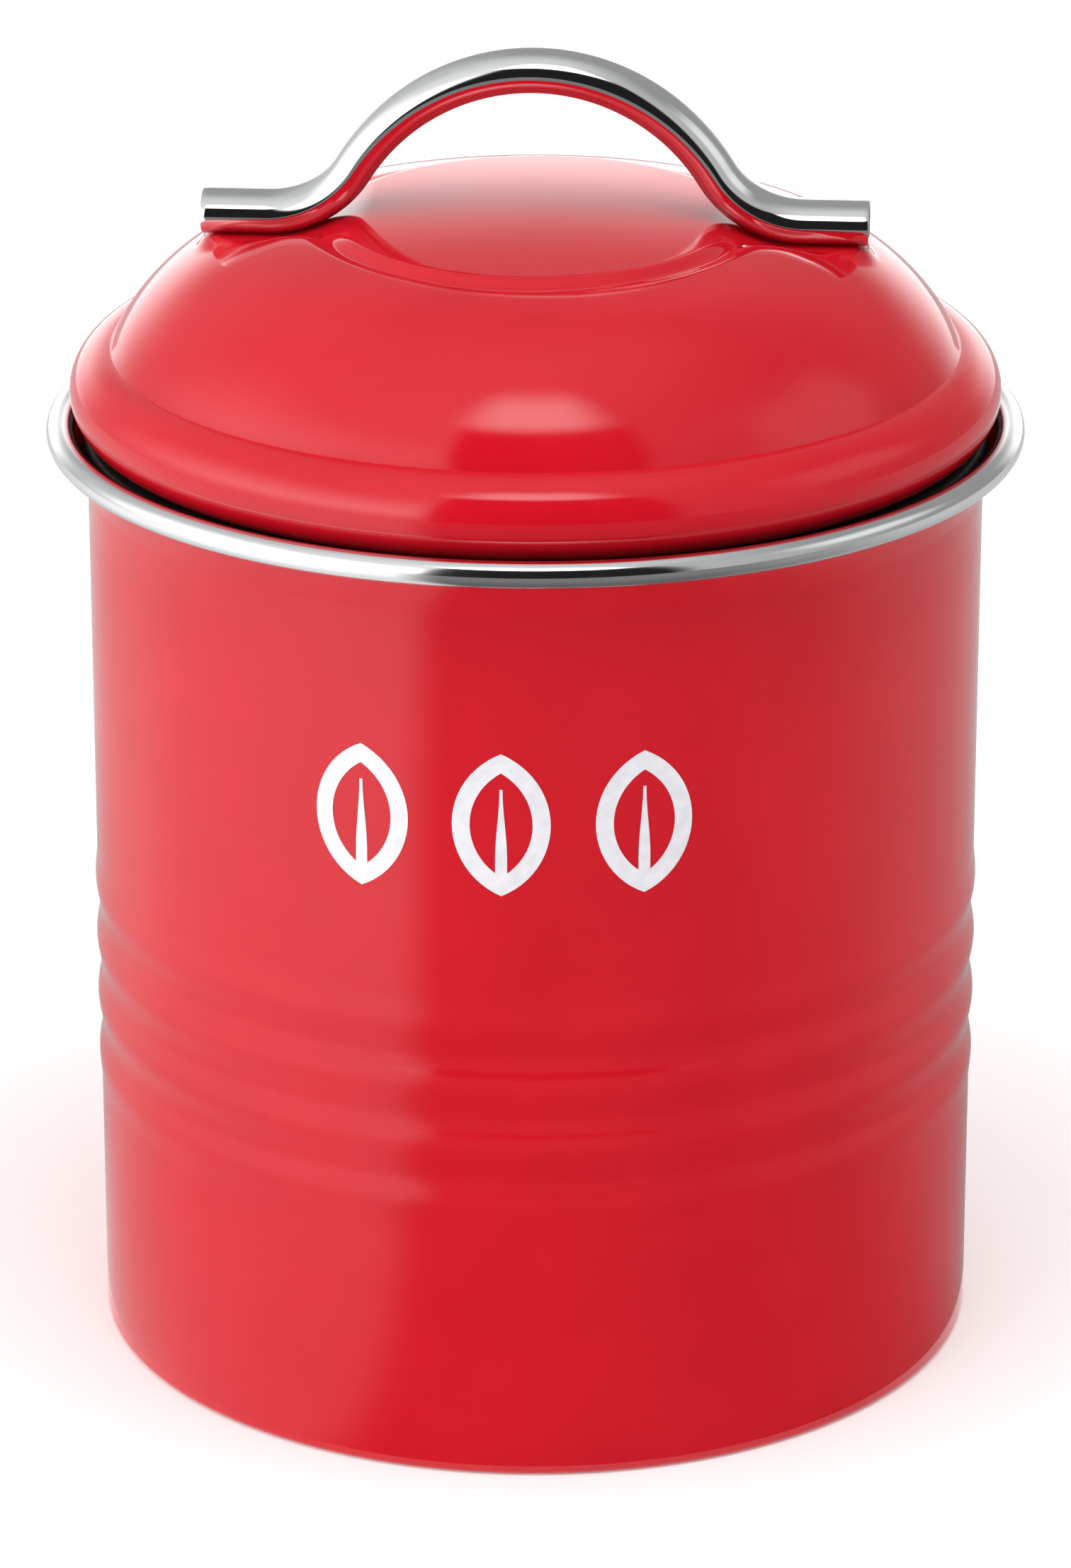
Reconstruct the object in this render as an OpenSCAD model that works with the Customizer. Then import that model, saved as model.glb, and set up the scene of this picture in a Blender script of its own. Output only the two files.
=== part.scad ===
// Round enamelled tea canister with a lift-off domed lid, a plug seal and a bent strap handle.
// Millimetres. Origin at the centre of the base, on the surface the canister stands on.
// +Z points up along the canister's axis, the handle runs along X and the print faces -Y.

/* [Can] */
// Outer radius of the plain can wall
can_r = 52; // [48:0.5:60]
// Height where the plain wall ends and the mouth starts to flare
wall_top = 104; // [95:1:125]
// Thickness of the painted steel sheet
sheet = 0.5; // [0.4:0.05:0.6]
// Radius of the rounded bottom corner
bottom_corner_r = 0.8; // [0.7:0.05:1]
// Height of the base pan's floor above the table
base_recess = 3; // [2:0.5:6]
// Width of the flat ring that the can stands on
foot_lip_w = 4.5; // [3:0.5:8]

/* [Beads] */
// Number of raised beads pressed around the can
bead_count = 4; // [1:1:4]
// Height of the lowest bead's crest
bead_first_z = 33.1; // [20:0.1:40]
// Distance from one bead to the next
bead_pitch = 7.4; // [6:0.1:9]
// How far each bead stands out of the plain wall
bead_rise = 0.25; // [0.15:0.05:0.5]
// Depth of a bead from its crest to the valley beside it
bead_depth = 0.55; // [0.4:0.05:0.7]

/* [Rim ring] */
// Radius of the ring's rolled tube
ring_tube_r = 1.6; // [1.4:0.05:1.8]
// Height of the ring's centre line above the end of the plain wall
ring_rise = 6.2; // [5.8:0.1:7]
// Distance of the ring's centre line outside the plain wall
ring_offset = 3.1; // [2.9:0.05:3.3]

/* [Lid] */
// Height of the raised centre disc above the ring's centre line
lid_rise = 27.3; // [26:0.1:30]
// Radius of the raised centre disc
plateau_r = 27; // [24:0.5:29]
// Length of each handle pad, measured from the lid's axis
pad_reach = 39; // [38.5:0.1:40]
// Half width of each handle pad
pad_half_w = 6.5; // [5.5:0.1:7.5]

/* [Handle] */
// Width of the strap's oval section
handle_w = 7.8; // [7:0.1:8.6]
// Height of the strap's oval section
handle_h = 5.2; // [4.8:0.1:5.6]
// Thickness of the strap's rolled sheet
handle_sheet = 0.7; // [0.6:0.05:0.8]
// Width of the open seam along the strap's underside
seam_w = 3.7; // [3.6:0.05:3.8]
// Radius of the handle's arch, along the middle of the section
arch_r = 24.4; // [23:0.1:25]
// Radius of the bend between the arch and each foot, along the middle of the section
bend_r = 11.9; // [11:0.1:13]
// Distance from the lid's axis to the start of each flat foot
foot_start = 30.9; // [30:0.1:31.5]
// Length of each flat foot
foot_l = 7.4; // [7:0.1:7.6]

/* [Leaf print] */
// Number of leaves in the row
leaf_count = 3; // [1:1:5]
// Distance between neighbouring leaves
leaf_spacing = 16; // [13:0.1:17]
// Height of a leaf
leaf_h = 16.8; // [12:0.1:20]
// Width of a leaf
leaf_w = 11; // [8:0.1:12]
// Width of the printed lines
leaf_line = 2; // [1.4:0.1:2.4]
// Height of the leaves' centre above the table
leaf_center_z = 79.9; // [75:0.1:90]

/* [Hidden] */
$fn = 128;
eps = 0.01;

// Can wall: each bead is an arc whose chord is one pitch long
bead_arc_r = (pow(bead_pitch / 2, 2) + pow(bead_depth, 2)) / (2 * bead_depth);
bead_arc_center = can_r + bead_rise - bead_arc_r;
bead_last_z = bead_first_z + (bead_count - 1) * bead_pitch;

// Mouth: the flared sheet runs from the wall into the ring's hollow
ring_r = can_r + ring_offset;
ring_z = wall_top + ring_rise;
ring_wall = 0.5;
flare_out = 2.6;
flare_rise = 5.5;

// Lock seam folded inside the wall, at the back
seam_angle = 4.6;
seam_bottom = base_recess + 2;

// Base pan skirt inside the wall
skirt_bottom = sheet;
pan_floor_top = base_recess + sheet;

// Lid: a rolled bulge, a domed shoulder and a slightly crowned centre disc
bulge_r = 5;
bulge_center_r = ring_r - 6.2;
bulge_center_z = ring_z + 4.8;
lip_z = ring_z;
crease_z = bulge_center_z + 5.1;
dome_arc_r = 24.7;
dome_center_r = can_r - 25.05;
dome_center_z = bulge_center_z - 5.95;
lid_top = ring_z + lid_rise;
crown_sag = 2.6;
crown_r = (pow(plateau_r, 2) + pow(crown_sag, 2)) / (2 * crown_sag);
crown_center_z = lid_top - crown_r;
pad_top = lid_top - 4.9;
pad_round_x = pad_reach - pad_half_w;
notch_low_x = 24.5;
notch_high_x = 19.5;
notch_end_x = 36;

// Plug ring, its flange, hem and gasket
plug_r = can_r - 2.3;
plug_bottom = wall_top - 6;
flange_w = 0.5;
hem_w = 0.5;
hem_h = 1.6;
gasket_bottom = ring_z - 4;
gasket_low_r = can_r;
gasket_high_r = can_r + 0.4;
gasket_shoulder = 1.8;
gasket_chamfer = 0.6;

// Handle: the seam's two lips stand on the pads, the bend's centre sits over the foot's start,
// and the bend's circle touches the arch's circle
lip_drop = handle_h / 2 * sqrt(1 - pow(seam_w / handle_w, 2));
foot_z = pad_top + lip_drop;
bend_center_z = foot_z + bend_r;
handle_angle = asin(foot_start / (arch_r + bend_r));
arch_center_z = bend_center_z - (arch_r + bend_r) * cos(handle_angle);
bend_steps = 5;
arch_steps = 7;
oval_steps = 12;

// Fasteners through each foot
screw_x = 34.9;
screw_r = 1.5;
screw_hole_r = 1.7;
screw_head_r = 2.75;
screw_head_h = 1.8;
screw_into_boss = 3;
driver_slot_w = 0.8;
driver_slot_l = 4;
driver_slot_depth = 0.9;
washer_r = 3.5;
washer_hole_r = 1.65;
washer_h = 0.5;
boss_l = 5;

// Print film
film = 0.08;
film_reach = 30;

red_paint = "firebrick";
bright_chrome = "gainsboro";
plain_steel = "silver";

// A rectangle from one corner to the other
module span(low, high) {
    translate(low) square(high - low);
}

// Height above a bead's crest where its arc meets the plain wall
function bead_reach(inset) =
    sqrt(pow(bead_arc_r - inset, 2) - pow(can_r - inset - bead_arc_center, 2));

// Filled half section of the beaded wall, pulled in by the given distance
module wall_outline(inset) {
    wall_r = can_r - inset;
    valley_r = can_r + bead_rise - bead_depth - inset;
    beads_low = bead_first_z - bead_reach(inset);
    beads_high = bead_last_z + bead_reach(inset);
    span([0, bottom_corner_r], [wall_r, beads_low]);
    span([0, beads_low - eps], [valley_r, beads_high + eps]);
    span([0, beads_high], [wall_r, wall_top]);
    for (i = [0 : bead_count - 1]) {
        bead_z = bead_first_z + i * bead_pitch;
        intersection() {
            translate([bead_arc_center, bead_z]) circle(bead_arc_r - inset);
            span([0, bead_z - bead_pitch / 2], [2 * can_r, bead_z + bead_pitch / 2]);
        }
    }
}

// Filled half section of the can from the rounded bottom to the flared mouth
module can_outline(inset) {
    corner_x = can_r - bottom_corner_r;
    flare_x = can_r - inset;
    wall_outline(inset);
    span([0, inset], [corner_x, bottom_corner_r]);
    intersection() {
        translate([corner_x, bottom_corner_r]) circle(bottom_corner_r - inset);
        span([corner_x - eps, inset], [can_r, bottom_corner_r + eps]);
    }
    polygon([[0, wall_top - eps], [flare_x, wall_top - eps], [flare_x, wall_top],
             [flare_x + flare_out, wall_top + flare_rise], [0, wall_top + flare_rise]]);
}

// Section of the flared sheet alone, which the ring's slot fits
module flare_section() {
    polygon([[can_r - sheet, wall_top], [can_r, wall_top],
             [can_r + flare_out, wall_top + flare_rise],
             [can_r - sheet + flare_out, wall_top + flare_rise]]);
}

module body_shell() {
    color(red_paint) {
        rotate_extrude() difference() {
            can_outline(0);
            can_outline(sheet);
            span([0, -1], [can_r - foot_lip_w, sheet + 1]);
        }
        rotate([0, 0, 90 - seam_angle / 2]) rotate_extrude(angle = seam_angle) difference() {
            wall_outline(sheet / 2);
            wall_outline(2 * sheet);
            span([0, 0], [2 * can_r, seam_bottom]);
            span([0, wall_top - 1], [2 * can_r, wall_top + 1]);
        }
    }
}

module base_disc() {
    color(plain_steel) rotate_extrude() difference() {
        span([0, skirt_bottom], [can_r - sheet, pan_floor_top]);
        span([0, -1], [can_r - 2 * sheet, base_recess]);
        translate([can_r - sheet, skirt_bottom]) rotate(45) square(bottom_corner_r, center = true);
    }
}

module rim_ring() {
    color(bright_chrome) rotate_extrude() difference() {
        translate([ring_r, ring_z]) circle(ring_tube_r);
        translate([ring_r, ring_z]) circle(ring_tube_r - ring_wall);
        flare_section();
    }
}

// One leaf drawn as a pointed outline with a rib, standing upright
module leaf() {
    side_r = (pow(leaf_h / 2, 2) + pow(leaf_w / 2, 2)) / leaf_w;
    side_x = side_r - leaf_w / 2;
    difference() {
        leaf_lens(side_r, side_x);
        leaf_lens(side_r - leaf_line, side_x);
    }
    intersection() {
        leaf_lens(side_r, side_x);
        span([-leaf_line / 3, -leaf_h / 2], [leaf_line / 3, leaf_h / 4]);
    }
}

// Overlap of two equal circles
module leaf_lens(r, x) {
    intersection() {
        translate([-x, 0]) circle(r);
        translate([x, 0]) circle(r);
    }
}

module leaf_print() {
    color("white") intersection() {
        difference() {
            translate([0, 0, leaf_center_z - leaf_h]) cylinder(r = can_r + film, h = 2 * leaf_h);
            translate([0, 0, leaf_center_z - leaf_h - 1]) cylinder(r = can_r, h = 2 * leaf_h + 2);
        }
        translate([0, -film_reach, leaf_center_z]) rotate([90, 0, 0]) linear_extrude(film_reach)
            for (i = [0 : leaf_count - 1]) {
                translate([(i - (leaf_count - 1) / 2) * leaf_spacing, 0]) leaf();
            }
    }
}

// Filled half section of the lid, pulled in by the given distance
module lid_outline(inset) {
    difference() {
        union() {
            translate([bulge_center_r, bulge_center_z]) circle(bulge_r - inset);
            span([0, bulge_center_z - bulge_r], [bulge_center_r, bulge_center_z + bulge_r - inset]);
        }
        span([0, 0], [2 * can_r, lip_z + inset]);
        span([-can_r, 0], [0, 2 * lid_top]);
    }
    intersection() {
        union() {
            translate([dome_center_r, dome_center_z]) circle(dome_arc_r - inset);
            span([0, dome_center_z], [dome_center_r, dome_center_z + dome_arc_r - inset]);
        }
        span([0, bulge_center_z + bulge_r / 2], [2 * can_r, lid_top]);
        union() {
            span([0, crease_z - 0.2], [2 * can_r, lid_top]);
            span([0, bulge_center_z], [bulge_center_r - inset / 2, lid_top]);
        }
    }
    intersection() {
        translate([0, crown_center_z]) circle(crown_r - inset);
        span([0, bulge_center_z], [plateau_r - inset, lid_top]);
    }
}

// The two raised pads under the handle's feet, with rounded ends
module pads(inset) {
    half_w = pad_half_w - inset;
    translate([0, 0, crease_z]) linear_extrude(pad_top - inset - crease_z) {
        square([2 * pad_round_x, 2 * half_w], center = true);
        for (side = [-1, 1]) {
            translate([side * pad_round_x, 0]) circle(half_w);
        }
    }
}

// Slanted cuts that carry each pad into the centre disc, under the bend of the handle
module notches(grow) {
    half_w = pad_half_w + grow;
    for (side = [-1, 1]) {
        translate([0, half_w, 0]) rotate([90, 0, 0]) linear_extrude(2 * half_w) polygon([
            [side * (notch_high_x - grow), lid_top],
            [side * (notch_low_x - grow), pad_top - grow],
            [side * notch_end_x, pad_top - grow],
            [side * notch_end_x, lid_top]
        ]);
    }
}

module lid_shell() {
    color(red_paint) difference() {
        union() {
            rotate_extrude() lid_outline(0);
            pads(0);
        }
        notches(0);
        difference() {
            rotate_extrude() lid_outline(sheet);
            notches(sheet);
        }
        pads(sheet);
        translate([0, 0, lip_z - 1]) cylinder(r = plug_r, h = sheet + 2);
        for (side = [-1, 1]) {
            translate([side * screw_x, 0, pad_top - 2]) cylinder(r = screw_hole_r, h = 4);
        }
    }
}

module lid_plug() {
    color(plain_steel) rotate_extrude() {
        span([plug_r - sheet, plug_bottom], [plug_r, lip_z + 2 * sheet]);
        span([plug_r - eps, lip_z + sheet], [plug_r + flange_w, lip_z + 2 * sheet]);
        span([plug_r - sheet - hem_w, plug_bottom], [plug_r - sheet + eps, plug_bottom + hem_h]);
    }
}

module lid_gasket() {
    color("darkslategray") rotate_extrude() polygon([
        [plug_r, gasket_bottom],
        [gasket_low_r, gasket_bottom],
        [gasket_high_r, gasket_bottom + gasket_shoulder],
        [gasket_high_r, lip_z - gasket_chamfer],
        [gasket_high_r - gasket_chamfer, lip_z],
        [plug_r, lip_z]
    ]);
}

// Places along the middle of the strap, from one foot's end to the other: [x, z, lean from upright]
function bend_station(side, lean) =
    [side * (foot_start - bend_r * sin(lean)), bend_center_z - bend_r * cos(lean), side * lean];
function arch_station(lean) = [arch_r * sin(lean), arch_center_z + arch_r * cos(lean), lean];
function foot_station(side) = [side * (foot_start + foot_l), foot_z, 0];
function strap_stations() = concat(
    [foot_station(-1)],
    [for (i = [0 : bend_steps - 1]) bend_station(-1, handle_angle * i / bend_steps)],
    [for (i = [-arch_steps : arch_steps]) arch_station(handle_angle * i / arch_steps)],
    [for (i = [bend_steps - 1 : -1 : 0]) bend_station(1, handle_angle * i / bend_steps)],
    [foot_station(1)]
);

// Oval edge of the strap's section as [across, height] points, from the seam's left lip over the
// top to its right lip
function oval(inset) =
    let (lip_angle = asin(seam_w / handle_w))
    [for (i = [0 : oval_steps])
        let (turn = lip_angle + (360 - 2 * lip_angle) * i / oval_steps)
        [(inset - handle_w / 2) * sin(turn), (inset - handle_h / 2) * cos(turn)]];

// Section of the rolled sheet: along the outside, then back along the inside
function strap_section() =
    let (inner = oval(handle_sheet))
    concat(oval(0), [for (i = [len(inner) - 1 : -1 : 0]) inner[i]]);

// One section point placed at one station
function placed(station, point) =
    [station[0] + point[1] * sin(station[2]), point[0], station[1] + point[1] * cos(station[2])];

module handle_strap() {
    stations = strap_stations();
    section = strap_section();
    ring = len(section);
    last = ring * (len(stations) - 1);
    color(bright_chrome) polyhedron(
        points = [for (station = stations) for (point = section) placed(station, point)],
        faces = concat(
            [for (k = [0 : oval_steps - 1]) [ring - 1 - k, ring - 2 - k, k + 1, k]],
            [for (k = [0 : oval_steps - 1])
                [last + k, last + k + 1, last + ring - 2 - k, last + ring - 1 - k]],
            [for (i = [0 : len(stations) - 2]) for (k = [0 : ring - 1])
                [i * ring + k, i * ring + (k + 1) % ring,
                 (i + 1) * ring + (k + 1) % ring, (i + 1) * ring + k]]
        )
    );
}

module handle_bosses() {
    color(plain_steel) for (side = [-1, 1]) {
        difference() {
            translate([side * screw_x - boss_l / 2, 0, foot_z]) rotate([90, 0, 90])
                linear_extrude(boss_l) intersection() {
                    polygon(oval(handle_sheet));
                    span([-handle_w, -lip_drop], [handle_w, handle_h]);
                }
            translate([side * screw_x, 0, pad_top - 1]) cylinder(r = screw_r, h = screw_into_boss + 1);
        }
    }
}

module handle_screws() {
    head_top = pad_top - sheet - washer_h;
    color(plain_steel) for (side = [-1, 1]) {
        translate([side * screw_x, 0, head_top]) difference() {
            union() {
                translate([0, 0, -screw_head_h]) cylinder(r = screw_head_r, h = screw_head_h);
                cylinder(r = screw_r, h = washer_h + sheet + screw_into_boss);
            }
            translate([-driver_slot_l / 2, -driver_slot_w / 2, -screw_head_h - 1])
                cube([driver_slot_l, driver_slot_w, driver_slot_depth + 1]);
        }
    }
}

module handle_washers() {
    color(plain_steel) for (side = [-1, 1]) {
        translate([side * screw_x, 0, pad_top - sheet - washer_h]) difference() {
            cylinder(r = washer_r, h = washer_h);
            translate([0, 0, -1]) cylinder(r = washer_hole_r, h = washer_h + 2);
        }
    }
}

body_shell();
base_disc();
rim_ring();
leaf_print();
lid_shell();
lid_plug();
lid_gasket();
handle_strap();
handle_bosses();
handle_screws();
handle_washers();
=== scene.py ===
import math
import bmesh
import bpy
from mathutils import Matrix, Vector


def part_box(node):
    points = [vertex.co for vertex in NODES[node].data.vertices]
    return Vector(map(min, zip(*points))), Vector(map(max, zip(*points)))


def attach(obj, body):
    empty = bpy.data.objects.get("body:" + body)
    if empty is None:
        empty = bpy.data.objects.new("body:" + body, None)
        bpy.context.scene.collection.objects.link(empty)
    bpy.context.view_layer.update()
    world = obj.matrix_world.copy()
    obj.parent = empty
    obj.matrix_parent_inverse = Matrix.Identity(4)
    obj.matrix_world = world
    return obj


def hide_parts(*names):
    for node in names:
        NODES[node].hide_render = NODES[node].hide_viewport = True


# Looks of the round enamelled tea canister: pressed sheet shells, rolled chrome trim, a rolled
# strap handle and a printed leaf row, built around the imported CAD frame. Metres throughout.

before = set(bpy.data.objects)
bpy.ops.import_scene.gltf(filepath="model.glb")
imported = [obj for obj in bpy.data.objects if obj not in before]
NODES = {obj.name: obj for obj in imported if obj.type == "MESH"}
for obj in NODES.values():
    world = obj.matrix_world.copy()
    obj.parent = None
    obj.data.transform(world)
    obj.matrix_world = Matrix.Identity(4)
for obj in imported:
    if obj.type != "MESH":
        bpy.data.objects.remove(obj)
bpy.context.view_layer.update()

MM = 0.001

# ---------------------------------------------------------------- measures read from the frame
ring_low, ring_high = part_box("rim_ring")
lid_low, lid_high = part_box("lid_shell")
strap_low, strap_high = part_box("handle_strap")
plug_low, plug_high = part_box("lid_plug")
gasket_low, gasket_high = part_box("lid_gasket")
print_low, print_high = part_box("leaf_print")
pan_low, pan_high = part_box("base_disc")

RING_TUBE = (ring_high.z - ring_low.z) / 2
RING_R = ring_high.y - RING_TUBE
RING_Z = (ring_high.z + ring_low.z) / 2
CAN_R = RING_R - 3.1 * MM
WALL_TOP = RING_Z - 6.2 * MM
SHEET = 0.5 * MM

# Can wall
BEAD_FIRST = 33.1 * MM
BEAD_PITCH = 7.4 * MM
BEAD_COUNT = 4
BEAD_RISE = 0.25 * MM
BEAD_DEPTH = 0.47 * MM
CORNER_R = 0.8 * MM
FOOT_LIP = 4.5 * MM
FLARE_OUT = 2.6 * MM
FLARE_RISE = 5.5 * MM

# Lid
LIP_Z = lid_low.z
LID_TOP = lid_high.z
BULGE_R = 5 * MM
BULGE_CENTER_R = lid_high.y - BULGE_R
BULGE_CENTER_Z = LIP_Z + 4.8 * MM
DOME_R = 24.7 * MM
DOME_CENTER_R = CAN_R - 25.05 * MM
DOME_CENTER_Z = BULGE_CENTER_Z - 5.95 * MM
SHOULDER_R = 33 * MM
SHOULDER_SLOPE = 0.14
CREASE_Z = BULGE_CENTER_Z + 5.1 * MM
PLATEAU_R = 27 * MM
PLATEAU_HALF_X = 24.5 * MM
PLATEAU_WALL_IN = 1.7 * MM
PLATEAU_WALL_OUT = 0.5 * MM
CROWN_EDGE_Z = LID_TOP - 2.6 * MM
CROWN_SAG = 1.0 * MM
CORE_R = 18 * MM
PAD_TOP = strap_low.z
PAD_REACH = 39 * MM
PAD_HALF_W = 6.5 * MM
PAD_BLEND = 6 * MM
PAD_RAMP_START = 19 * MM
PAD_RAMP_STOP = 29.5 * MM
PLUG_R = CAN_R - 2.3 * MM

# Handle
STRAP_HALF_W = 3.9 * MM
STRAP_HALF_H = 2.6 * MM
STRAP_SHEET = 0.7 * MM
STRAP_SEAM = 3.7 * MM
STRAP_REACH = strap_high.x
FOOT_START = STRAP_REACH - 7.4 * MM
ARCH_R = 24.4 * MM
BEND_R = 11.9 * MM


# ---------------------------------------------------------------- small maths
def smooth(low, high, value):
    """0 below low, 1 above high, and a smooth rise between."""
    t = min(max((value - low) / (high - low), 0.0), 1.0)
    return t * t * (3 - 2 * t)


def mix(a, b, t):
    """The value a share t of the way from a to b."""
    return a + (b - a) * t


def smooth_least(a, b, reach):
    """The lesser of two distances, rounded where they are close."""
    h = max(reach - abs(a - b), 0.0) / reach
    return min(a, b) - h * h * reach / 4


def arc(center, radius, start, stop, steps):
    """Points on a circle from one angle to another, in degrees."""
    angles = [math.radians(mix(start, stop, i / steps)) for i in range(steps + 1)]
    return [(center[0] + radius * math.cos(a), center[1] + radius * math.sin(a)) for a in angles]


def path_normals(path):
    """Unit normals to the left of an open path of 2D points."""
    normals = []
    for i in range(len(path)):
        a = path[max(i - 1, 0)]
        b = path[min(i + 1, len(path) - 1)]
        length = math.hypot(b[0] - a[0], b[1] - a[1]) or 1.0
        normals.append((-(b[1] - a[1]) / length, (b[0] - a[0]) / length))
    return normals


def sheet_loop(path, thickness, edge_steps=4):
    """Closed outline of a sheet: the path, a round edge, the path moved left, and a round edge."""
    normals = path_normals(path)
    half = thickness / 2

    def cap(i, turn):
        center = (path[i][0] + normals[i][0] * half, path[i][1] + normals[i][1] * half)
        start = math.degrees(math.atan2(-normals[i][1], -normals[i][0])) if turn == "end" else \
            math.degrees(math.atan2(normals[i][1], normals[i][0]))
        return arc(center, half, start, start + 180, edge_steps)[1:-1]

    inside = [(p[0] + n[0] * thickness, p[1] + n[1] * thickness) for p, n in zip(path, normals)]
    return path + cap(-1, "end") + inside[::-1] + cap(0, "start")


# ---------------------------------------------------------------- mesh helpers
def finish_mesh(name, bm, crease_angle=42):
    """The piece made from a mesh: doubles merged, faces outward, smooth but for its creases."""
    bmesh.ops.remove_doubles(bm, verts=bm.verts, dist=1e-7)
    bmesh.ops.recalc_face_normals(bm, faces=bm.faces)
    mesh = bpy.data.meshes.new(name)
    bm.to_mesh(mesh)
    bm.free()
    mesh.polygons.foreach_set("use_smooth", [True] * len(mesh.polygons))
    mesh.set_sharp_from_angle(angle=math.radians(crease_angle))
    piece = bpy.data.objects.new(name, mesh)
    bpy.context.scene.collection.objects.link(piece)
    return piece


def skin(bm, rings, closed):
    """Quads between closed rings of vertices. If closed, the last ring also joins the first."""
    rows = len(rings)
    for i in range(rows if closed else rows - 1):
        a, b = rings[i], rings[(i + 1) % rows]
        for k in range(len(a)):
            n = (k + 1) % len(a)
            bm.faces.new((a[k], a[n], b[n], b[k]))


def revolve(name, loop, segments=256, extra_angles=(), warp=None):
    """A closed outline of (radius, height) points turned about the Z axis. warp moves each point."""
    angles = sorted({2 * math.pi * i / segments for i in range(segments)} | set(extra_angles))
    bm = bmesh.new()
    rings = []
    for a in angles:
        ring = []
        for i, (r, z) in enumerate(loop):
            if warp:
                r, z = warp(a, i, r, z)
            ring.append(bm.verts.new((r * math.cos(a), r * math.sin(a), z)))
        rings.append(ring)
    skin(bm, rings, True)
    return finish_mesh(name, bm)


# ---------------------------------------------------------------- materials
def shader(name, color, metallic=0.0, roughness=0.4, coat=0.0, coat_roughness=0.1, specular=0.5):
    """A new material: returns it with its node tree and its Principled shader."""
    material = bpy.data.materials.new(name)
    material.use_nodes = True
    tree = material.node_tree
    principled = tree.nodes["Principled BSDF"]
    principled.inputs["Base Color"].default_value = (*color, 1)
    principled.inputs["Metallic"].default_value = metallic
    principled.inputs["Roughness"].default_value = roughness
    principled.inputs["Coat Weight"].default_value = coat
    principled.inputs["Coat Roughness"].default_value = coat_roughness
    principled.inputs["Specular IOR Level"].default_value = specular
    return material, tree, principled


def object_noise(tree, scale, detail=3.0, stretch=(1, 1, 1)):
    """Noise fixed to the object, with features about 1/scale metres across."""
    coordinates = tree.nodes.new("ShaderNodeTexCoord")
    mapping = tree.nodes.new("ShaderNodeMapping")
    mapping.inputs["Scale"].default_value = stretch
    noise = tree.nodes.new("ShaderNodeTexNoise")
    noise.inputs["Scale"].default_value = scale
    noise.inputs["Detail"].default_value = detail
    tree.links.new(coordinates.outputs["Object"], mapping.inputs["Vector"])
    tree.links.new(mapping.outputs["Vector"], noise.inputs["Vector"])
    return noise.outputs["Fac"]


def spread(tree, source, low, high):
    """The source value's middle range spread between two output values."""
    node = tree.nodes.new("ShaderNodeMapRange")
    node.inputs["From Min"].default_value = 0.3
    node.inputs["From Max"].default_value = 0.7
    node.inputs["To Min"].default_value = low
    node.inputs["To Max"].default_value = high
    tree.links.new(source, node.inputs["Value"])
    return node.outputs["Result"]


def two_tone(tree, source, low_color, high_color):
    """A colour that goes between two with the source value."""
    ramp = tree.nodes.new("ShaderNodeValToRGB")
    ramp.color_ramp.elements[0].position = 0.35
    ramp.color_ramp.elements[0].color = (*low_color, 1)
    ramp.color_ramp.elements[1].position = 0.65
    ramp.color_ramp.elements[1].color = (*high_color, 1)
    tree.links.new(source, ramp.inputs["Fac"])
    return ramp.outputs["Color"]


def bump(tree, source, strength, depth):
    """Fine relief from the source value, as a normal."""
    node = tree.nodes.new("ShaderNodeBump")
    node.inputs["Strength"].default_value = strength
    node.inputs["Distance"].default_value = depth
    tree.links.new(source, node.inputs["Height"])
    return node.outputs["Normal"]


def enamel_material(name, deep, bright):
    """Stove enamel: even colour with a slight flow pattern, and a clear top with faint orange peel."""
    material, tree, principled = shader(name, bright, roughness=0.55, coat=1.0, coat_roughness=0.08,
                                        specular=0.0)
    flow = object_noise(tree, 60, 4)
    peel = object_noise(tree, 900, 2)
    tree.links.new(two_tone(tree, flow, deep, bright), principled.inputs["Base Color"])
    tree.links.new(spread(tree, flow, 0.5, 0.6), principled.inputs["Roughness"])
    normal = bump(tree, peel, 0.1, 0.02 * MM)
    tree.links.new(normal, principled.inputs["Normal"])
    tree.links.new(normal, principled.inputs["Coat Normal"])
    return material


def chrome_material(name, color, rough_low, rough_high, stretch):
    """Polished chrome: faint polishing lines and slightly uneven roughness."""
    material, tree, principled = shader(name, color, metallic=1.0, roughness=rough_low)
    haze = object_noise(tree, 120, 3)
    lines = object_noise(tree, 700, 2, stretch)
    tree.links.new(spread(tree, haze, rough_low, rough_high), principled.inputs["Roughness"])
    tree.links.new(bump(tree, lines, 0.05, 0.01 * MM), principled.inputs["Normal"])
    return material


def steel_material(name, dark, light, rough_low, rough_high, stretch):
    """Bare or zinc-plated steel with rolling marks and mottling."""
    material, tree, principled = shader(name, light, metallic=1.0, roughness=rough_low)
    mottle = object_noise(tree, 260, 5)
    lines = object_noise(tree, 500, 3, stretch)
    tree.links.new(two_tone(tree, mottle, dark, light), principled.inputs["Base Color"])
    tree.links.new(spread(tree, lines, rough_low, rough_high), principled.inputs["Roughness"])
    tree.links.new(bump(tree, lines, 0.2, 0.02 * MM), principled.inputs["Normal"])
    return material


def rubber_material(name, dark, light):
    """Moulded dark seal: matt, with fine grain."""
    material, tree, principled = shader(name, light, roughness=0.6, specular=0.35)
    grain = object_noise(tree, 1500, 4)
    tree.links.new(two_tone(tree, grain, dark, light), principled.inputs["Base Color"])
    tree.links.new(spread(tree, grain, 0.5, 0.7), principled.inputs["Roughness"])
    tree.links.new(bump(tree, grain, 0.3, 0.03 * MM), principled.inputs["Normal"])
    return material


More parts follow.
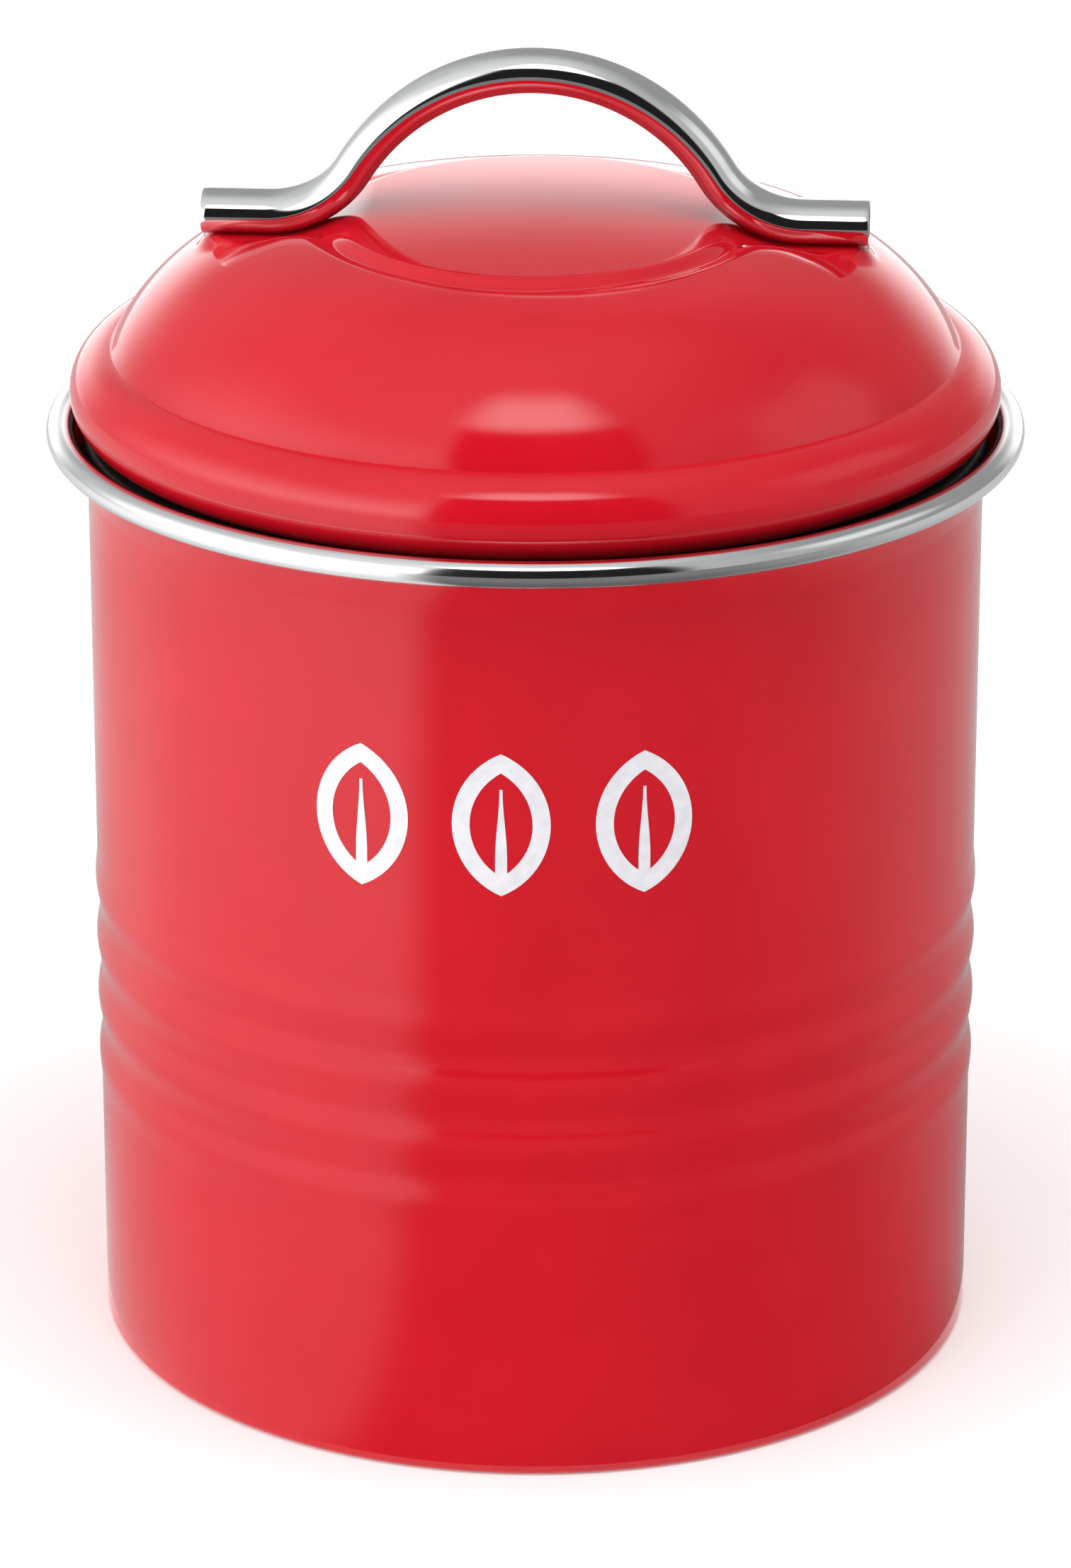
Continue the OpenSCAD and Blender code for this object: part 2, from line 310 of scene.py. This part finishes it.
def print_material(name, dark, light):
    """White printed enamel: slightly uneven ink over the red, with a soft gloss."""
    material, tree, principled = shader(name, light, roughness=0.35, coat=0.6, coat_roughness=0.12)
    ink = object_noise(tree, 700, 4)
    tree.links.new(two_tone(tree, ink, dark, light), principled.inputs["Base Color"])
    tree.links.new(spread(tree, ink, 0.3, 0.42), principled.inputs["Roughness"])
    tree.links.new(bump(tree, ink, 0.1, 0.02 * MM), principled.inputs["Normal"])
    return material


RED = enamel_material("red_enamel", (0.6, 0.0062, 0.0165), (0.64, 0.0075, 0.0185))
CHROME = chrome_material("chrome_trim", (0.86, 0.87, 0.88), 0.03, 0.07, (0.15, 1, 1))
RING_CHROME = chrome_material("chrome_ring", (0.84, 0.85, 0.86), 0.07, 0.13, (1, 1, 3))
TIN = steel_material("tinplate", (0.52, 0.52, 0.5), (0.66, 0.66, 0.64), 0.25, 0.38, (1, 1, 6))
ZINC = steel_material("zinc_fastener", (0.48, 0.49, 0.5), (0.62, 0.63, 0.64), 0.28, 0.4, (4, 1, 1))
SEAL = rubber_material("seal_rubber", (0.008, 0.012, 0.01), (0.016, 0.021, 0.018))
WHITE = print_material("white_print", (0.8, 0.79, 0.84), (0.88, 0.87, 0.92))


def place(piece, material, body, node):
    """Gives a new piece its material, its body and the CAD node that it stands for."""
    piece.data.materials.clear()
    piece.data.materials.append(material)
    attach(piece, body)
    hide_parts(node)
    return piece


# ---------------------------------------------------------------- can
def bead_offset(z):
    """How far the wall stands out of the plain cylinder at a height, through the row of beads."""
    last = BEAD_FIRST + (BEAD_COUNT - 1) * BEAD_PITCH
    if z < BEAD_FIRST:
        return BEAD_RISE * smooth(BEAD_FIRST - BEAD_PITCH / 2, BEAD_FIRST, z)
    if z > last:
        return BEAD_RISE * (1 - smooth(last, last + BEAD_PITCH / 2, z))
    wave = (1 - math.cos(2 * math.pi * (z - BEAD_FIRST) / BEAD_PITCH)) / 2
    return BEAD_RISE - BEAD_DEPTH * wave


def can_path():
    """Outside of the can's sheet from the foot lip, up the beaded wall, to the flared edge."""
    corner = arc((CAN_R - CORNER_R, CORNER_R), CORNER_R, -90, 0, 6)
    path = [(CAN_R - FOOT_LIP, 0), (CAN_R - FOOT_LIP / 2, 0)] + corner
    bead_low = BEAD_FIRST - BEAD_PITCH / 2
    bead_high = BEAD_FIRST + (BEAD_COUNT - 0.5) * BEAD_PITCH
    path += [(CAN_R, mix(CORNER_R, bead_low, i / 6)) for i in range(1, 6)]
    steps = BEAD_COUNT * 20 + 20
    for i in range(steps + 1):
        z = mix(bead_low, bead_high, i / steps)
        path.append((CAN_R + bead_offset(z), z))
    path += [(CAN_R, mix(bead_high, WALL_TOP, i / 8)) for i in range(1, 8)]
    for i in range(11):
        t = i / 10
        path.append((CAN_R + FLARE_OUT * mix(t, t * t, 0.5), WALL_TOP + FLARE_RISE * t))
    return path


SEAM_HALF = math.radians(2.3)
SEAM_EDGE = math.radians(0.35)


def make_can():
    """The can's wall in one sheet, with a lock seam down the back."""
    path = can_path()
    count = len(path)
    loop = sheet_loop(path, SHEET)
    back = math.pi / 2

    def seam(angle, i, r, z):
        """A fine groove outside and a folded strip inside, at the back of the wall."""
        tall = smooth(2 * MM, 5 * MM, z) * (1 - smooth(WALL_TOP - 2 * MM, WALL_TOP, z))
        if i < count:
            groove = 1 - smooth(0, 1.4 * SEAM_EDGE, abs(angle - back - SEAM_HALF))
            return r - 0.1 * MM * groove * tall, z
        strip = smooth(-SEAM_EDGE, SEAM_EDGE, SEAM_HALF - abs(angle - back))
        return r - SHEET * 0.95 * strip * tall, z

    near_seam = [back + side * SEAM_HALF + k * SEAM_EDGE / 3 for side in (-1, 1) for k in range(-6, 7)]
    piece = revolve("can_wall", loop, 256, near_seam, seam)
    return place(piece, RED, "can", "body_shell")


def make_base_pan():
    """Pressed pan: a skirt inside the wall, a round corner and a floor with a pressed ring."""
    skirt_r = CAN_R - SHEET
    path = [(skirt_r, pan_low.z + 0.3 * MM), (skirt_r, pan_high.z - 0.5 * MM)]
    path += arc((skirt_r - 0.5 * MM, pan_high.z - 0.5 * MM), 0.5 * MM, 0, 90, 5)[1:]
    path += [(40 * MM, pan_high.z)]
    path += [(mix(40 * MM, 36 * MM, i / 10), pan_high.z - 0.35 * MM * math.sin(math.pi * i / 10) ** 2)
             for i in range(1, 11)]
    path += [(18 * MM, pan_high.z), (0, pan_high.z)]
    normals = path_normals(path)
    inside = [(p[0] + n[0] * SHEET, p[1] + n[1] * SHEET) for p, n in zip(path, normals)]
    loop = path + inside[::-1]
    piece = revolve("base_pan", loop, 192)
    return place(piece, TIN, "can", "base_disc")


def make_ring():
    """Rolled chrome trim: a tube with a slot that the flared edge of the can runs into."""
    slot_angle = -117
    slot_half = 13
    start = slot_angle + slot_half
    stop = slot_angle + 360 - slot_half
    wall = 0.45 * MM
    outside = arc((RING_R, RING_Z), RING_TUBE, start, stop, 40)
    inside = arc((RING_R, RING_Z), RING_TUBE - wall, stop, start, 28)
    piece = revolve("rim_trim", outside + inside, 256)
    return place(piece, RING_CHROME, "can", "rim_ring")


# ---------------------------------------------------------------- print
def make_print():
    """Three leaves in a row, drawn as a pointed outline with a rib, as a thin film on the wall."""
    leaf_h = print_high.z - print_low.z
    leaf_w = 11 * MM
    line = 2 * MM
    spacing = 16 * MM
    center_z = (print_low.z + print_high.z) / 2
    outer_r = CAN_R + 0.07 * MM
    inner_r = CAN_R - 0.05 * MM
    side_r = ((leaf_h / 2) ** 2 + (leaf_w / 2) ** 2) / leaf_w
    side_x = side_r - leaf_w / 2
    bm = bmesh.new()

    def lens(radius, steps):
        """Outline of the overlap of two circles, from the top tip round to it again."""
        half = math.acos(side_x / radius)
        right = [(radius * math.cos(a) - side_x, radius * math.sin(a))
                 for a in (mix(half, -half, i / steps) for i in range(steps))]
        left = [(-x, -y) for x, y in right]
        return right + left

    def on_wall(x, z, radius):
        """A vertex at a distance around the front of the wall and a height."""
        a = x / CAN_R
        return bm.verts.new((radius * math.sin(a), -radius * math.cos(a), z))

    def ribbon(left, right, closed, radius):
        """A strip of film between two lines of (across, height) points."""
        rings = []
        for a, b in zip(left, right):
            middle = [(mix(a[0], b[0], t), mix(a[1], b[1], t)) for t in (0, 0.5, 1)]
            top = [on_wall(x, z, radius) for x, z in middle]
            under = [on_wall(x, z, inner_r) for x, z in middle[::-1]]
            rings.append(top + under)
        skin(bm, rings, closed)
        if not closed:
            bm.faces.new(rings[0][::-1])
            bm.faces.new(rings[-1])

    for i in (-1, 0, 1):
        outline = [(x + i * spacing, z + center_z) for x, z in lens(side_r, 24)]
        inner = [(x + i * spacing, z + center_z) for x, z in lens(side_r - line, 24)]
        ribbon(outline, inner, True, outer_r)
        rib_low = -math.sqrt((side_r - line) ** 2 - side_x ** 2)
        heights = [mix(rib_low, leaf_h / 4, k / 12) for k in range(13)]
        widths = [line / 3 * (1 - 0.75 * smooth(0.2, 1, k / 12)) for k in range(13)]
        left = [(i * spacing - w, z + center_z) for w, z in zip(widths, heights)]
        right = [(i * spacing + w, z + center_z) for w, z in zip(widths, heights)]
        ribbon(left, right, False, outer_r - 0.01 * MM)
    piece = finish_mesh("leaf_row", bm, 30)
    return place(piece, WHITE, "can", "leaf_print")


# ---------------------------------------------------------------- lid
def dome_height(r):
    """Height of the plain dome, without the raised centre, which it meets at a slope."""
    if r >= SHOULDER_R:
        return DOME_CENTER_Z + math.sqrt(max(DOME_R ** 2 - (r - DOME_CENTER_R) ** 2, 0))
    run = SHOULDER_R - DOME_CENTER_R
    rise = math.sqrt(DOME_R ** 2 - run ** 2)
    reach = SHOULDER_R - PLATEAU_R
    inward = min(SHOULDER_R - r, reach)
    flattening = (run / rise - SHOULDER_SLOPE) * inward ** 2 / (2 * reach)
    return DOME_CENTER_Z + rise + run / rise * inward - flattening


def lid_height(x, y):
    """Height of the lid's outside: the dome, with the crowned centre and two handle pads raised."""
    r = math.hypot(x, y)
    crown_r = (PLATEAU_R ** 2 + CROWN_SAG ** 2) / (2 * CROWN_SAG)
    crown = CROWN_EDGE_Z + CROWN_SAG - crown_r + math.sqrt(crown_r ** 2 - r * r)
    disc = (math.hypot(x / PLATEAU_HALF_X, y / PLATEAU_R) - 1) * (PLATEAU_HALF_X + PLATEAU_R) / 2
    round_x = PAD_REACH - PAD_HALF_W
    pad = math.hypot(max(abs(x) - round_x, 0), y) - PAD_HALF_W
    outline = smooth_least(disc, pad, PAD_BLEND)
    toward_pad = smooth(PAD_RAMP_START, PAD_RAMP_STOP, abs(x))
    raised = mix(crown, PAD_TOP, toward_pad)
    wall = 1 - smooth(-PLATEAU_WALL_IN, PLATEAU_WALL_OUT, outline)
    return mix(dome_height(r), raised, wall)


def make_lid():
    """One pressed sheet: raised centre, dome, rolled bulge and the lip that turns in to the plug."""
    crease_r = DOME_CENTER_R + math.sqrt(DOME_R ** 2 - (CREASE_Z - DOME_CENTER_Z) ** 2)
    radii = [CORE_R * i / 14 for i in range(14)]
    steps = 84
    radii += [mix(CORE_R, crease_r - 0.2 * MM, i / steps) for i in range(steps + 1)]
    start = math.degrees(math.acos((crease_r - 0.15 * MM - BULGE_CENTER_R) / BULGE_R))
    bulge = arc((BULGE_CENTER_R, BULGE_CENTER_Z), BULGE_R, start - 3, -72, 44)
    lip = [(PLUG_R + 0.35 * MM, LIP_Z + 0.03 * MM), (PLUG_R, LIP_Z)]
    segments = 320
    bm = bmesh.new()
    center = bm.verts.new((0, 0, lid_height(0, 0)))
    rows = []
    for r in radii[1:]:
        row = []
        for k in range(segments):
            a = 2 * math.pi * k / segments
            x, y = r * math.cos(a), r * math.sin(a)
            row.append(bm.verts.new((x, y, lid_height(x, y))))
        rows.append(row)
    for r, z in bulge + lip:
        row = []
        for k in range(segments):
            a = 2 * math.pi * k / segments
            row.append(bm.verts.new((r * math.cos(a), r * math.sin(a), z)))
        rows.append(row)
    skin(bm, rows, False)
    for k in range(segments):
        bm.faces.new((center, rows[0][k], rows[0][(k + 1) % segments]))
    piece = finish_mesh("lid_pressing", bm, 50)
    solid = piece.modifiers.new("sheet", "SOLIDIFY")
    solid.thickness = SHEET
    solid.offset = -1
    solid.use_even_offset = False
    graph = bpy.context.evaluated_depsgraph_get()
    mesh = bpy.data.meshes.new_from_object(piece.evaluated_get(graph))
    piece.modifiers.clear()
    piece.data = mesh
    return place(piece, RED, "lid", "lid_shell")


def make_plug():
    """Ring that guides the lid in the mouth: a flange on the lip, a straight wall and a folded hem."""
    top = plug_high.z
    low = plug_low.z
    path = [(PLUG_R + 0.5 * MM, top - SHEET), (PLUG_R, top - SHEET), (PLUG_R, mix(low, top, 0.5)),
            (PLUG_R, low + 0.6 * MM)]
    path += arc((PLUG_R - 0.5 * MM, low + 0.5 * MM), 0.5 * MM, 0, -180, 8)
    path += [(PLUG_R - 1.0 * MM, low + 1.6 * MM), (PLUG_R - 0.5 * MM, low + 1.6 * MM),
             (PLUG_R - SHEET, mix(low, top, 0.5)), (PLUG_R - SHEET, top), (PLUG_R + 0.5 * MM, top)]
    piece = revolve("plug_ring", path, 224)
    return place(piece, TIN, "lid", "lid_plug")


def make_gasket():
    """Moulded seal with a rounded sealing edge and a small lip groove."""
    low, top = gasket_low.z, gasket_high.z
    outer = gasket_high.y
    loop = [(PLUG_R, low), (CAN_R - 0.3 * MM, low)]
    loop += arc((CAN_R - 0.3 * MM, low + 0.3 * MM), 0.3 * MM, -90, -20, 4)
    loop += [(outer - 0.15 * MM, low + 1.5 * MM), (outer, low + 2.0 * MM),
             (outer - 0.25 * MM, low + 2.5 * MM), (outer, low + 3.0 * MM)]
    loop += arc((outer - 0.6 * MM, top - 0.6 * MM), 0.6 * MM, 0, 90, 5)
    loop += [(PLUG_R + 0.5 * MM, top), (PLUG_R, top)]
    piece = revolve("seal_ring", loop, 224)
    return place(piece, SEAL, "lid", "lid_gasket")


# ---------------------------------------------------------------- handle
def strap_section(steps=30):
    """Rolled oval sheet with a seam along its underside, as (across, height) points."""
    lip = math.asin(STRAP_SEAM / (2 * STRAP_HALF_W))

    def oval(inset):
        points = []
        for i in range(steps + 1):
            turn = lip + (2 * math.pi - 2 * lip) * i / steps
            points.append(((inset - STRAP_HALF_W) * math.sin(turn), (inset - STRAP_HALF_H) * math.cos(turn)))
        return points

    return oval(0) + oval(STRAP_SHEET)[::-1]


def strap_stations():
    """Places along the middle of the strap: (x, z, lean from upright)."""
    lip_drop = STRAP_HALF_H * math.sqrt(1 - (STRAP_SEAM / (2 * STRAP_HALF_W)) ** 2)
    foot_z = PAD_TOP + lip_drop
    bend_z = foot_z + BEND_R
    lean_most = math.asin(FOOT_START / (ARCH_R + BEND_R))
    arch_z = bend_z - (ARCH_R + BEND_R) * math.cos(lean_most)
    half = []
    for i in range(49):
        lean = lean_most * i / 48
        half.append((ARCH_R * math.sin(lean), arch_z + ARCH_R * math.cos(lean), lean))
    for i in range(1, 25):
        lean = lean_most * (1 - i / 24)
        half.append((FOOT_START - BEND_R * math.sin(lean), bend_z - BEND_R * math.cos(lean), lean))
    half += [(mix(FOOT_START, STRAP_REACH, t), foot_z, 0) for t in (0.3, 0.6, 0.9, 0.985, 1.0)]
    return [(-x, z, -lean) for x, z, lean in half[:0:-1]] + half


def make_strap():
    """The handle: its section swept along its stations, drawn in a little at both cut ends."""
    section = strap_section()
    stations = strap_stations()
    bm = bmesh.new()
    rings = []
    last = len(stations) - 1
    for i, (x, z, lean) in enumerate(stations):
        shrink = 0.985 if i in (0, last) else 1.0
        rings.append([bm.verts.new((x + h * shrink * math.sin(lean), w * shrink,
                                    z + h * shrink * math.cos(lean)))
                      for w, h in section])
    skin(bm, rings, False)
    half = len(section) // 2
    for ring in (rings[0], rings[-1]):
        for k in range(half - 1):
            bm.faces.new((ring[k], ring[k + 1], ring[2 * half - 2 - k], ring[2 * half - 1 - k]))
    piece = finish_mesh("strap_handle", bm, 40)
    return place(piece, CHROME, "lid", "handle_strap")


# ---------------------------------------------------------------- carried-over CAD pieces
def dress(node, material):
    """Gives a CAD piece that is kept its material and smooth shading."""
    mesh = NODES[node].data
    mesh.materials.clear()
    mesh.materials.append(material)
    mesh.polygons.foreach_set("use_smooth", [True] * len(mesh.polygons))
    mesh.set_sharp_from_angle(angle=math.radians(35))


# ---------------------------------------------------------------- stage
CAMERA_AZIMUTH = 4.2
STUDIO_R = 1.2
STUDIO_Z = 110 * MM


def steps_between(pairs, value):
    """Piecewise value from (place, level) pairs in rising order, eased between neighbours."""
    for (low, a), (high, b) in zip(pairs, pairs[1:]):
        if value <= high:
            return mix(a, b, smooth(low, high, value))
    return pairs[-1][1]


def wall_level(azimuth, elevation):
    """Brightness of the studio around the object. Azimuth is measured from the camera, rightwards."""
    around = steps_between([(-180, 0.34), (-125, 0.6), (-80, 0.8), (-30, 0.9), (40, 0.5),
                            (110, 0.32), (180, 0.34)], azimuth)
    level = mix(around, 0.72, smooth(50, 90, elevation))
    # A glow low behind the object
    level += 1.9 * smooth(130, 165, abs(azimuth)) * (1 - smooth(7, 24, elevation))
    # A broad light on the left
    if azimuth < 0:
        left_box = smooth(-130, -65, azimuth) * (1 - smooth(5, 52, elevation))
        level += 2.2 * left_box * mix(0.3, 1.0, smooth(-6, 12, elevation))
    # A faint window on the right
    window = smooth(58, 80, azimuth) * (1 - smooth(98, 116, azimuth))
    level += 0.5 * window * smooth(8, 26, elevation) * (1 - smooth(34, 50, elevation))
    # The dark around the camera, and the soft box above it
    dark = smooth(-29, -23, azimuth) * (1 - smooth(30, 38, azimuth)) * (1 - smooth(51, 56, elevation))
    level = mix(level, 0.015, dark)
    top_box = smooth(52, 58, elevation) * (1 - smooth(65, 80, elevation)) * (1 - smooth(12, 36, abs(azimuth)))
    return level + 3.6 * top_box


def table_level(azimuth, distance):
    """Brightness that the studio's table shows in the object's gloss, with a painted shadow of the object on
    it close by.
    """
    around = steps_between([(-180, 0.6), (-140, 0.75), (-100, 1.1), (-55, 1.35), (-33, 1.3),
                            (-21, 0.2), (40, 0.22), (60, 0.32), (100, 0.6), (180, 0.62)], azimuth)
    # Dimmer within about 0.26 m of the object: a painted shadow of the object on the table, as it shows in
    # the gloss.
    return around * mix(0.62, 1.0, smooth(0.06, 0.26, distance))


def level_card(name, rings, levels, lights_diffuse):
    """A studio card from rings of points, with its own brightness at each point. The camera doesn't
    see it: it shows in the object's gloss and, if asked, lights the object."""
    mesh = bpy.data.meshes.new(name)
    count = len(rings[0])
    points = [point for ring in rings for point in ring]
    quads = [(i * count + k, i * count + k + 1, (i + 1) * count + k + 1, (i + 1) * count + k)
             for i in range(len(rings) - 1) for k in range(count - 1)]
    mesh.from_pydata(points, [], quads)
    attribute = mesh.attributes.new("level", "FLOAT", "POINT")
    attribute.data.foreach_set("value", [level for ring in levels for level in ring])
    material = bpy.data.materials.new(name + "_face")
    material.use_nodes = True
    tree = material.node_tree
    tree.nodes.clear()
    output = tree.nodes.new("ShaderNodeOutputMaterial")
    emission = tree.nodes.new("ShaderNodeEmission")
    reader = tree.nodes.new("ShaderNodeAttribute")
    reader.attribute_name = "level"
    tree.links.new(reader.outputs["Fac"], emission.inputs["Strength"])
    tree.links.new(emission.outputs["Emission"], output.inputs["Surface"])
    mesh.materials.append(material)
    card = bpy.data.objects.new(name, mesh)
    bpy.context.scene.collection.objects.link(card)
    card.visible_camera = False
    card.visible_shadow = False
    card.visible_diffuse = lights_diffuse


def make_studio():
    """A dome of soft light around the object and the lit table below it."""
    azimuths = [-180 + 3 * i for i in range(121)]
    elevations = [-5.3, -3, 0] + [2.5 * i for i in range(1, 37)]
    rings, levels = [], []
    for elevation in elevations:
        e = math.radians(elevation)
        ring = []
        for azimuth in azimuths:
            a = math.radians(azimuth + CAMERA_AZIMUTH)
            ring.append((STUDIO_R * math.cos(e) * math.sin(a), -STUDIO_R * math.cos(e) * math.cos(a),
                         STUDIO_Z + STUDIO_R * math.sin(e)))
        rings.append(ring)
        levels.append([wall_level(azimuth, elevation) for azimuth in azimuths])
    level_card("studio_dome", rings, levels, True)
    rings, levels = [], []
    for distance in [0.053, 0.08, 0.1, 0.13, 0.17, 0.22, 0.28, 0.5, 0.8, 1.19]:
        ring = []
        for azimuth in azimuths:
            a = math.radians(azimuth + CAMERA_AZIMUTH)
            ring.append((distance * math.sin(a), -distance * math.cos(a), 0.5 * MM))
        rings.append(ring)
        levels.append([table_level(azimuth, distance) for azimuth in azimuths])
    level_card("studio_table", rings, levels, False)


def make_floor():
    """A plain pale floor, wide enough to fill every view."""
    mesh = bpy.data.meshes.new("floor")
    size = 6.0
    corners = [(-size, -size, 0), (size, -size, 0), (size, size, 0), (-size, size, 0)]
    mesh.from_pydata(corners, [], [(0, 1, 2, 3)])
    floor = bpy.data.objects.new("floor", mesh)
    bpy.context.scene.collection.objects.link(floor)
    floor.location.z = -0.1 * MM
    material, _, principled = shader("pale_floor", (0.9, 0.9, 0.9), roughness=0.75, specular=0.1)
    principled.inputs["Emission Color"].default_value = (1, 1, 1, 1)
    principled.inputs["Emission Strength"].default_value = 0.2
    mesh.materials.append(material)


def make_overhead():
    """A broad soft light above and to the right, aimed at the object. The gloss doesn't show it."""
    data = bpy.data.lights.new("overhead", "AREA")
    data.size = 1.0
    data.energy = 5
    light = bpy.data.objects.new("overhead", data)
    light.location = (0.3, -0.25, 1.0)
    light.rotation_euler = Vector((0.3, -0.25, 0.9)).to_track_quat("Z", "Y").to_euler()
    light.visible_glossy = False
    light.visible_camera = False
    bpy.context.scene.collection.objects.link(light)


def make_stage():
    """Floor, studio, overhead light and a white world."""
    make_floor()
    make_studio()
    make_overhead()
    world = bpy.data.worlds.new("studio")
    bpy.context.scene.world = world
    world.use_nodes = True
    world.node_tree.nodes["Background"].inputs["Color"].default_value = (1, 1, 1, 1)
    world.node_tree.nodes["Background"].inputs["Strength"].default_value = 1.0


def make_camera():
    """A long lens from slightly above, turned a little to the right of the handle's middle."""
    distance = 750 * MM
    height = 350 * MM
    pitch = 20.8
    focal_px = 9560
    long_side_px = 2213
    data = bpy.data.cameras.new("camera")
    data.sensor_width = 36
    data.lens = focal_px / long_side_px * data.sensor_width
    camera = bpy.data.objects.new("camera", data)
    a = math.radians(CAMERA_AZIMUTH)
    camera.location = (distance * math.sin(a), -distance * math.cos(a), height)
    camera.rotation_euler = (math.radians(90 - pitch), 0, a)
    bpy.context.scene.collection.objects.link(camera)
    bpy.context.scene.camera = camera


make_can()
make_base_pan()
make_ring()
make_print()
make_lid()
make_plug()
make_gasket()
make_strap()
for fastener in ("handle_bosses", "handle_screws", "handle_washers"):
    dress(fastener, ZINC)
make_stage()
make_camera()
bpy.context.scene.view_settings.view_transform = "Standard"
